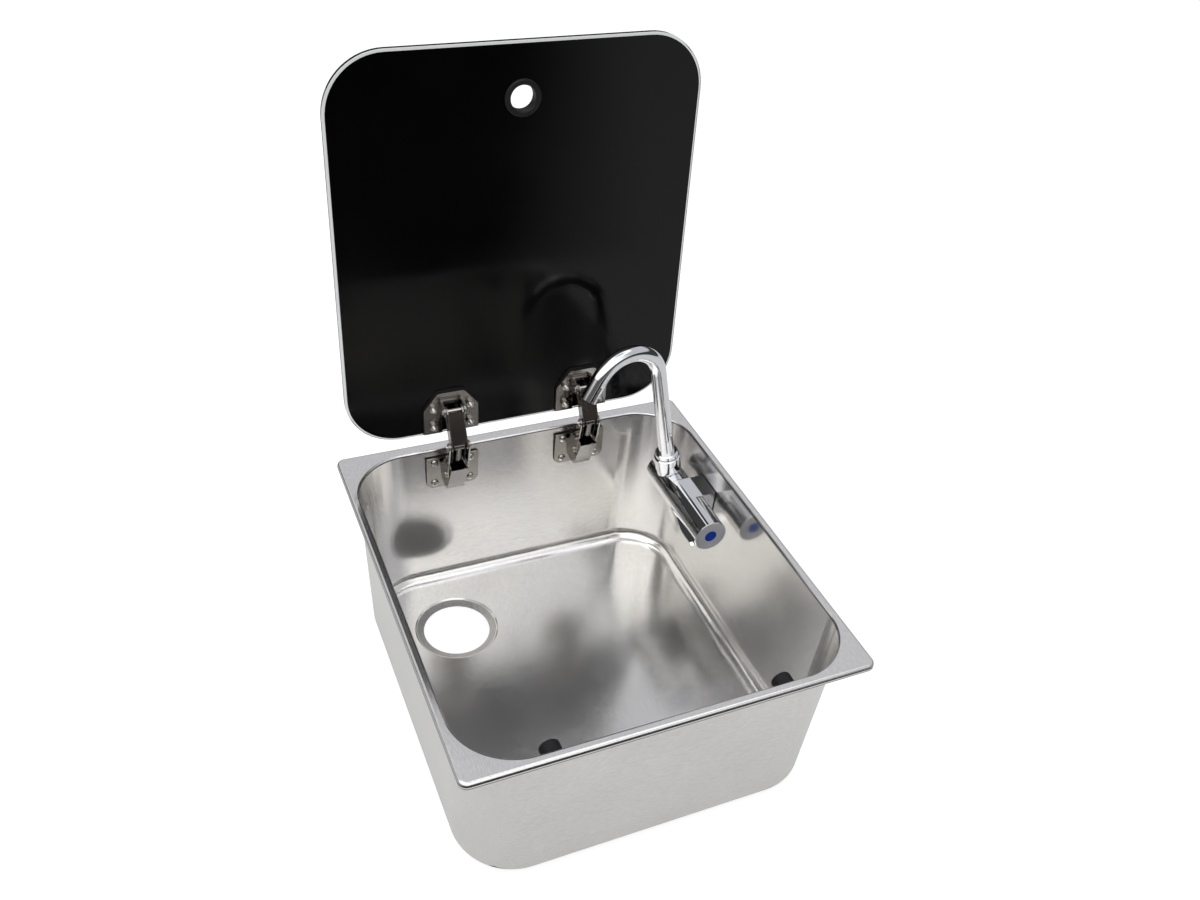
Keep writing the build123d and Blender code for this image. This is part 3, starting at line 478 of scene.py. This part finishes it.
def pan_head():
    """Pan head, seat at zero, with a tapering cross recess."""
    rings = [(HEAD_R, 0.0), (HEAD_R, HEAD_SIDE * HEAD_H)]
    rings += [(HEAD_R * share, head_top(HEAD_R * share)) for share in DOME_SHARES]
    rings.append((cross_reach, lambda a: head_top(cross_reach(a))))
    rings += [(lambda a, share=share: share * cross_reach(a), HEAD_H - depth * RECESS_DEPTH)
              for share, depth in RECESS_TAPER]
    return lathe(rings, cross_angles())


def bolt(length, bare):
    """Cross-recess pan screw: plain for the bare length under its head, then threaded."""
    shank = lathe([(M4_ROOT_R - TIP_BEVEL, -length), (M4_ROOT_R, TIP_BEVEL - length),
                   (M4_ROOT_R, -bare), (M4_R, -bare), (M4_R, 0.0)], even_angles(TURN_STEPS))
    verts, faces = thread(bare, length - TIP_BARE)
    turned = [Vector((v.x, -v.y, -v.z)) for v in verts]
    return [pan_head(), shank, (turned, faces)]


def hexagon(angle):
    return NUT_ACROSS / 2 / math.cos(angle % (math.pi / 3) - math.pi / 6)


def bevel_drop(angle):
    """How far a nut's bevel has come down at its outline."""
    return (hexagon(angle) - NUT_BEVEL_R) * math.tan(math.radians(30))


def nut():
    """Hexagon nut standing on zero, bevelled at both ends and at its bore."""
    rings = [(M4_R, BORE_BEVEL), (M4_R + BORE_BEVEL, 0.0), (NUT_BEVEL_R, 0.0),
             (hexagon, bevel_drop), (hexagon, lambda a: NUT_H - bevel_drop(a)),
             (NUT_BEVEL_R, NUT_H), (M4_R + BORE_BEVEL, NUT_H), (M4_R, NUT_H - BORE_BEVEL)]
    return [lathe(rings, even_angles(NUT_STEPS), loop=True)]


def fasteners(name, placed, body, node):
    """Pieces, each with its origin and upward direction, in place of a CAD node."""
    verts, faces = [], []
    for piece, origin, up in placed:
        across = up.cross(SIDEWAYS)
        for part_verts, part_faces in piece:
            base = len(verts)
            verts += [origin + SIDEWAYS * v.x + across * v.y + up * v.z for v in part_verts]
            faces += [tuple(base + i for i in face) for face in part_faces]
    made = make(name, verts, faces, body, looks["fastener_steel"],
                smooth_below=32)
    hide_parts(node)


def washer_end(z):
    """Y of the face that a wall screw's nut sits on."""
    return WASHER_Y - WALL_SLOPE * (WASHER_Z - z)


columns = [hinge + off for hinge in HINGE_X for off in SCREW_OFF]
wall_places = [(x, z) for x in columns for z in WALL_SCREW_Z]
lid_places = [(x, u) for x in columns for u in LID_BOLT_U]

fasteners("wall_screws_detailed",
          [(bolt(washer_end(z) + NUT_H + WALL_TIP - PLATE_Y,
                 washer_end(z) + BARE_IN_NUT - PLATE_Y),
            Vector((x, PLATE_Y, z)), Vector((0, -1, 0))) for x, z in wall_places],
          "sink", "hinge_wall_screws")
fasteners("wall_nuts_detailed",
          [(nut(), Vector((x, washer_end(z), z)), Vector((0, 1, 0))) for x, z in wall_places],
          "sink", "hinge_wall_nuts")
fasteners("lid_bolts_detailed",
          [(bolt(PLATE_IN_V + LID_TIP - PLATE_OUT_V, PLATE_IN_V + BARE_IN_NUT - PLATE_OUT_V),
            on_lid(x, u, PLATE_OUT_V), -LID_V) for x, u in lid_places],
          "lid", "lid_bolts")
fasteners("lid_nuts_detailed",
          [(nut(), on_lid(x, u, PLATE_IN_V), LID_V) for x, u in lid_places],
          "lid", "lid_nuts")

# ---------------------------------------------------------------- drain
DRAIN_AT = Vector((-91.5, 104.0, 0.0))
DRAIN_R, RECESS_FOOT_R = 34.0, 40.0
LEDGE_TOP, LEDGE_RISE = -165.2, 1.7
LEDGE_GAP, DRAIN_STEPS = 0.03, 120


def drain_bevel():
    """The slope pressed round the drain hole, from the hole's edge up the recess's side."""
    edge, foot = DRAIN_R + LEDGE_GAP, LEDGE_TOP + LEDGE_GAP
    rings = [(edge, foot), (RECESS_FOOT_R, foot),
             (RECESS_FOOT_R + LEDGE_RISE - LEDGE_GAP, LEDGE_TOP + LEDGE_RISE),
             (edge, foot + 2 * LEDGE_GAP)]
    verts, faces = lathe(rings, even_angles(DRAIN_STEPS), loop=True)
    make("drain_bevel", [v + DRAIN_AT for v in verts], faces, "sink",
         looks["bowl_steel"], smooth_below=12)


drain_bevel()

# ---------------------------------------------------------------- floor, light, world
FLOOR_Z, FLOOR_SIZE = -0.1665, 14.0
# The floor's glow to the camera, its glow in metal, and the paint that takes the shadow.
FLOOR_LIFT, MIRROR_LIFT, FLOOR_SHADE = 0.82, 0.36, 0.42

SOFT_LEVEL = 0.5
# The studio as metal sees it: sine of the height looked at, and the level there.
STUDIO_LEVELS = ((0.0, 0.05), (0.30, 0.05), (0.38, 0.62), (0.84, 0.61),
                 (0.91, 1.5), (0.955, 1.5), (0.98, 0.7), (1.0, 0.55))
# One side of it is brighter, in full from this dot product on, and slightly warmer.
BRIGHT_SIDE, BRIGHT_FULL, BRIGHT_GAIN = (-0.75, -0.66, 0.0), 0.4, 2.25
COOL, WARM = (0.975, 0.98, 1.03), (1.01, 1.0, 0.98)


def plane(name, width, depth, place, look):
    """A level sheet of the stage."""
    x, y = width / 2, depth / 2
    mesh = bpy.data.meshes.new(name)
    mesh.from_pydata([(-x, -y, 0), (x, -y, 0), (x, y, 0), (-x, y, 0)], [], [(0, 1, 2, 3)])
    mesh.materials.append(look)
    made = bpy.data.objects.new(name, mesh)
    made.location = place
    bpy.context.collection.objects.link(made)
    return made


def floor_look():
    """Pale floor: near white with its shadow when seen, duller in metal, matt to soft light."""
    m = Mat("floor", Base_Color=(0.9, 0.9, 0.9), Roughness=0.9, Specular_IOR_Level=0.1)
    glow = m.node("ShaderNodeEmission", {
        "Strength": m.remap(m.rays("Is Glossy Ray"), 0.0, 1.0, FLOOR_LIFT, MIRROR_LIFT)})
    paint = m.node("ShaderNodeBsdfDiffuse", {"Color": (FLOOR_SHADE, FLOOR_SHADE, FLOOR_SHADE)})
    seen = m.node("ShaderNodeAddShader", {0: glow.outputs[0], 1: paint.outputs[0]})
    m.surface(m.layer(m.rays("Is Camera Ray", "Is Glossy Ray", "Is Transmission Ray"),
                      m.shader.outputs[0], seen.outputs[0]))
    return m.mat


def studio_world():
    """Even soft light; white to the camera and through glass, a graded studio in metal."""
    world = bpy.data.worlds.new("studio")
    world.use_nodes = True
    w = Nodes(world.node_tree)
    even = w.tree.nodes["Background"]
    w.feed(even.inputs["Color"], (1, 1, 1))
    w.feed(even.inputs["Strength"], SOFT_LEVEL)
    toward = w.node("ShaderNodeTexCoord").outputs["Generated"]
    ramp = w.node("ShaderNodeValToRGB", {"Fac": w.part(toward, "Z")})
    stops = ramp.color_ramp.elements
    while len(stops) < len(STUDIO_LEVELS):
        stops.new(0.5)
    for stop, (at, level) in zip(stops, STUDIO_LEVELS):
        stop.position = at
        stop.color = (level, level, level, 1.0)
    side = w.remap(w.vector("DOT_PRODUCT", toward, BRIGHT_SIDE), 0.0, BRIGHT_FULL,
                   1.0, BRIGHT_GAIN)
    tint = w.mix(w.remap(side, 1.0, BRIGHT_GAIN, 0.0, 1.0), COOL, WARM)
    studio = w.node("ShaderNodeBackground", {
        "Color": w.vector("MULTIPLY", ramp.outputs["Color"], tint), "Strength": side})
    white = w.node("ShaderNodeBackground", {"Color": (1, 1, 1)})
    lit = w.layer(w.rays("Is Glossy Ray"), even.outputs[0], studio.outputs[0])
    w.feed(w.tree.nodes["World Output"].inputs["Surface"],
           w.layer(w.rays("Is Camera Ray", "Is Transmission Ray"), lit, white.outputs[0]))
    return world


def painted_dark_reflection(name, width, depth, place, level, fade=None):
    """Painted dark reflection: a dark sheet that only mirror-like faces see; it neither blocks
    light nor casts shadow. It may thin out to one side.

    A fade gives that side's direction, where the sheet stops being solid and where it is gone.
    """
    m = Mat(name, Base_Color=(level, level, level), Roughness=1.0, Specular_IOR_Level=0.0)
    if fade:
        side, solid_to, gone_at = fade
        place_in_room = m.node("ShaderNodeNewGeometry").outputs["Position"]
        across = m.vector("DOT_PRODUCT", place_in_room, side)
        m.to(m.remap(across, solid_to, gone_at, 1.0, 0.0), "Alpha")
    card = plane(name, width, depth, place, m.mat)
    card.visible_camera = False
    card.visible_diffuse = False
    card.visible_transmission = False
    card.visible_shadow = False


def softbox(name, width, height, place, target, level):
    """Area lamp whose face has the given brightness."""
    data = bpy.data.lights.new(name, "AREA")
    data.shape = "RECTANGLE"
    data.size = width
    data.size_y = height
    data.energy = level * math.pi * width * height
    made = bpy.data.objects.new(name, data)
    made.location = place
    made.rotation_euler = (Vector(target) - Vector(place)).to_track_quat("-Z", "Y").to_euler()
    made.visible_glossy = False
    bpy.context.collection.objects.link(made)


scene.world = studio_world()
plane("floor", FLOOR_SIZE, FLOOR_SIZE, (0, 0, FLOOR_Z), floor_look())
# Painted dark reflection: a dark sheet on the floor in front, seen only in metal.
painted_dark_reflection("front_dark_reflection", width=4.2, depth=3.0, place=(0.15, -2.05, FLOOR_Z + 0.001), level=0.01,
          fade=((0.919, 0.395, 0.0), -0.02, 0.26))
# Painted shade: a dark sheet under the sink, seen only in metal, where the floor would be
# shaded.
painted_dark_reflection("under_painted_shade", width=0.30, depth=0.36, place=(0, 0, FLOOR_Z + 0.0002), level=0.15)
softbox("top_box", width=2.0, height=1.6, place=(0.1, 0.5, 2.1), target=(0, 0, 0), level=1.5)
softbox("left_box", width=1.0, height=1.4, place=(-1.9, -0.5, 1.2), target=(0, 0, 0.05),
        level=1.8)
softbox("right_box", width=0.9, height=1.2, place=(1.9, -0.9, 1.3), target=(0, 0, 0.05),
        level=1.0)
